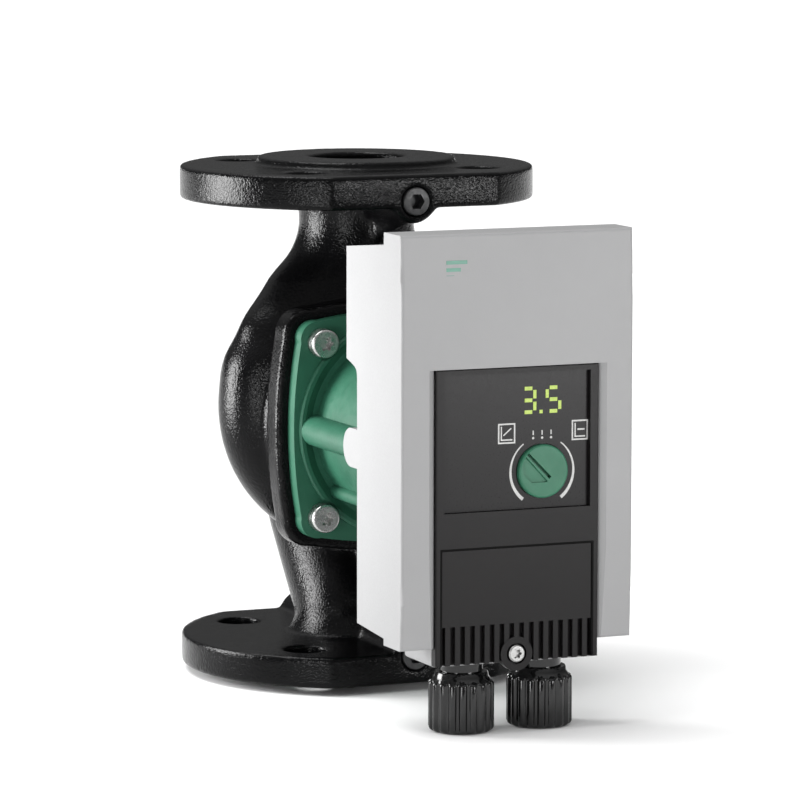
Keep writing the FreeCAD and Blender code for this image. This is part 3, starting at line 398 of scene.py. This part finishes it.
def build_housing():
    ob = joined_casting("cast_housing")
    voxel(ob, 0.85 * MM)
    co, ed = arrays(ob.data)
    z, d = co[:, 2], -co[:, 1]
    r = np.hypot(co[:, 0], co[:, 1])
    # the body between the flanges is cast with wide fillets; the square flange keeps tighter edges
    lo = np.clip((z - 17.5 * MM) / (5 * MM), 0, 1)
    hi = np.clip((202.0 * MM - z) / (5 * MM), 0, 1)
    square = ((d > 29.0 * MM) & (z > 50 * MM) & (z < 168 * MM)).astype(float)
    body = lo * hi
    co = smooth(co, ed, np.full(len(co), 1.0), 7)
    co = smooth(co, ed, body * (1 - 0.8 * square), 34)
    # the neck's shoulders run into the scroll without a step
    x, z = co[:, 0], co[:, 2]
    zk = np.array([120, 126, 129.5, 133, 136.5, 140, 143, 147, 151, 156, 163, 169, 176, 186, 194]) * MM
    sk = np.array([1, 1.004, 1.009, 1.018, 1.025, 1.016, 0.997, 0.985, 0.974, 0.980, 0.974, 0.978, 0.985, 0.986, 1])
    d = -co[:, 1]
    out = np.clip((30.0 * MM - d) / (3 * MM), 0, 1)
    co[:, 0] = x * (1 + (np.interp(z, zk, sk) - 1) * out)
    w = np.clip(1 - np.abs(z - 149 * MM) / (19 * MM), 0, 1) * np.clip((29.0 * MM - d) / (4 * MM), 0, 1)
    co = smooth_part(co, ed, np.sqrt(w), 150)
    # sand texture of the casting, softer on the machined faces
    cast = np.clip((z - 3.2 * MM) / (0.4 * MM), 0, 1) * np.clip((216.0 * MM - z) / (0.4 * MM), 0, 1)
    nrm = np.empty(len(co) * 3)
    set_co(ob.data, co)
    ob.data.vertices.foreach_get("normal", nrm)
    nrm = nrm.reshape(-1, 3)
    h = value_noise(co / (2.1 * MM), 3) * 0.022 + value_noise(co / (9.0 * MM), 5) * 0.05
    co = co + nrm * ((h - 0.035) * MM * cast)[:, None]
    set_co(ob.data, co)
    return finish_piece(ob, "pump", "cast_black", CAST)


def value_noise(p, seed):
    """Smooth lattice noise from -0.5 to 0.5 at each point of p."""
    i = np.floor(p).astype(np.int64)
    f = p - i
    f = f * f * (3 - 2 * f)
    out = np.zeros(len(p))
    for dx in (0, 1):
        for dy in (0, 1):
            for dz in (0, 1):
                k = (i[:, 0] + dx) * 73856093 ^ (i[:, 1] + dy) * 19349663 ^ (i[:, 2] + dz) * 83492791 ^ seed * 2654435761
                k = (k ^ (k >> 13)) * 1274126177
                k = (k ^ (k >> 16)) & 0xFFFF
                w = (f[:, 0] if dx else 1 - f[:, 0]) * (f[:, 1] if dy else 1 - f[:, 1]) * (f[:, 2] if dz else 1 - f[:, 2])
                out += w * (k / 65535.0 - 0.5)
    return out


def edge_normals(ob, deg):
    """Smooth shading that keeps edges sharper than deg."""
    bm = bmesh.new()
    bm.from_mesh(ob.data)
    lim = math.radians(deg)
    for e in bm.edges:
        e.smooth = not (len(e.link_faces) == 2 and e.calc_face_angle(0.0) > lim)
    bm.to_mesh(ob.data)
    bm.free()


build_housing()


# --------------------------------------------------------------------------- gland nuts and painted shade strip in the cover gap
def ribbed_nut(node, body, cx):
    """Gland nut with eighteen rounded grip ribs; each level is (z, core radius, rib height share)."""
    levels = [(0.2, 5.6, 0), (0.2, 11.5, 0), (0.5, 12.0, 0.25), (1.1, 12.15, 0.75), (1.9, 12.2, 1), (10.5, 12.2, 1), (19.4, 12.2, 1),
              (20.1, 12.15, 0.85), (20.6, 12.05, 0.35), (20.9, 11.9, 0), (21.8, 11.4, 0), (22.6, 10.95, 0), (24.0, 10.7, 0),
              (24.3, 10.4, 0), (24.3, 8.05, 0), (4.2, 8.05, 0), (4.2, 5.0, 0), (0.8, 5.0, 0)]
    ribs, per, cy = 18, 18, -151.0
    n = ribs * per
    bm = bmesh.new()
    rings = []
    for k in range(n):
        t = 2 * math.pi * k / n
        u = ((k % per) / per) - 0.5
        lift = 1.1 * math.sqrt(max(0.0, 1 - (u / 0.34) ** 2))
        rings.append([bm.verts.new(((cx + (r + lift * f) * math.cos(t)) * MM, (cy + (r + lift * f) * math.sin(t)) * MM, z * MM))
                      for z, r, f in levels])
    m = len(levels)
    for k in range(n):
        a, b = rings[k], rings[(k + 1) % n]
        for i in range(m):
            bm.faces.new((a[i], b[i], b[(i + 1) % m], a[(i + 1) % m]))
    bmesh.ops.recalc_face_normals(bm, faces=bm.faces)
    me = bpy.data.meshes.new(node + "_ribbed")
    bm.to_mesh(me)
    bm.free()
    ob = link(bpy.data.objects.new(node + "_ribbed", me))
    finish_piece(ob, body, "gland_black", [node])
    edge_normals(ob, 38)
    return ob


ribbed_nut("gland_nut_left", "gland_left", -17.15)
ribbed_nut("gland_nut_right", "gland_right", 17.15)


def cover_gap_shade():
    """Black strip in the gap round the top and sides of the terminal cover, put there as painted shade for the dark
    gap rather than a real rubber lip.
    """
    d0, d1 = 166.0, 167.36
    out = [(-33.5, 29.4), (-33.5, 76.25), (33.5, 76.25), (33.5, 29.4)]
    inn = [(-32.54, 29.4), (-32.54, 75.16), (32.54, 75.16), (32.54, 29.4)]
    bm = bmesh.new()
    v = {}
    for key, loop in (("o", out), ("i", inn)):
        for j, d in enumerate((d0, d1)):
            for k, (x, z) in enumerate(loop):
                v[key, j, k] = bm.verts.new((x * MM, -d * MM, z * MM))
    for k in range(3):
        for j in (0, 1):
            bm.faces.new((v["o", j, k], v["o", j, k + 1], v["i", j, k + 1], v["i", j, k]))
        for key in ("o", "i"):
            bm.faces.new((v[key, 0, k], v[key, 0, k + 1], v[key, 1, k + 1], v[key, 1, k]))
    for k in (0, 3):
        bm.faces.new((v["o", 0, k], v["o", 1, k], v["i", 1, k], v["i", 0, k]))
    bmesh.ops.recalc_face_normals(bm, faces=bm.faces)
    bmesh.ops.bevel(bm, geom=list(bm.edges), offset=0.12 * MM, segments=2, affect="EDGES")
    me = bpy.data.meshes.new("cover_gap_shade")
    bm.to_mesh(me)
    bm.free()
    ob = link(bpy.data.objects.new("cover_gap_shade", me))
    # the gasket material here paints shade in the cover gap; the strip stands for shade, not a seal
    finish_piece(ob, "pump", "gasket")
    edge_normals(ob, 40)


cover_gap_shade()

# --------------------------------------------------------------------------- stage
def floor():
    bm = bmesh.new()
    R = 30.0
    vs = [bm.verts.new((R * math.cos(2 * math.pi * k / 64), R * math.sin(2 * math.pi * k / 64), 0)) for k in range(64)]
    bm.faces.new(vs)
    me = bpy.data.meshes.new("floor")
    bm.to_mesh(me)
    bm.free()
    ob = link(bpy.data.objects.new("floor", me))
    me.materials.append(MATS["floor_white"])


floor()


def area(name, loc, target, size, power, color=(1, 1, 1), size_y=None, grid=180):
    l = bpy.data.lights.new(name, "AREA")
    l.energy = power
    l.color = color
    l.spread = math.radians(grid)
    l.size = size
    if size_y:
        l.shape = "RECTANGLE"
        l.size_y = size_y
    ob = link(bpy.data.objects.new(name, l))
    ob.location = loc
    ob.rotation_euler = (Vector(target) - Vector(loc)).to_track_quat("-Z", "Y").to_euler()
    ob.visible_camera = False
    return ob


def sun(name, direction, strength, angle):
    l = bpy.data.lights.new(name, "SUN")
    l.energy = strength
    l.angle = math.radians(angle)
    ob = link(bpy.data.objects.new(name, l))
    ob.rotation_euler = Vector(direction).to_track_quat("-Z", "Y").to_euler()
    return ob


# three soft boxes round the object and a soft overhead light over the whole floor
sun("overhead", (0.35, -0.20, -1.1), 2.3, 40)
area("soft_left", (-0.376, 0.148, 0.160), (-0.06, -0.01, 0.135), 0.20, 0.72, size_y=0.24, grid=70)
area("soft_front_left", (-0.776, -0.743, 0.130), (-0.04, -0.06, 0.13), 0.20, 2.2, size_y=0.25)
area("soft_front_right", (0.430, -1.000, 0.160), (0.0, -0.06, 0.20), 0.28, 3.4, size_y=0.15)

w = bpy.data.worlds.new("studio")
bpy.context.scene.world = w
w.use_nodes = True
nt = w.node_tree
bg = nt.nodes["Background"]
tc = nt.nodes.new("ShaderNodeTexCoord")
sep = nt.nodes.new("ShaderNodeSeparateXYZ")
nt.links.new(tc.outputs["Generated"], sep.inputs[0])
nt.links.new(ramp(nt, sep.outputs["Z"], [(0.0, grey(0.10)), (0.22, grey(0.11)), (0.5, grey(0.45)), (0.8, grey(0.85)), (1.0, grey(0.95))]), bg.inputs["Color"])
bg.inputs["Strength"].default_value = 1.0

# --------------------------------------------------------------------------- camera
AZ, DIST, HEIGHT, F_PX, PX, PY = 22.51, 2.10435, 0.37541, 4965.35, 356.23, 411.87
cam_data = bpy.data.cameras.new("camera")
cam = link(bpy.data.objects.new("camera", cam_data))
a = math.radians(AZ)
cam.location = (-math.sin(a) * DIST, -math.cos(a) * DIST, HEIGHT)
cam.rotation_euler = (Vector((0, 0, AXIS)) - cam.location).to_track_quat("-Z", "Y").to_euler()
cam_data.sensor_width = 36.0
cam_data.lens = F_PX * 36.0 / 800.0
cam_data.shift_x = (400 - PX) / 800.0
cam_data.shift_y = (PY - 400) / 800.0
cam_data.clip_end = 100
bpy.context.scene.camera = cam
bpy.context.scene.view_settings.view_transform = "Standard"
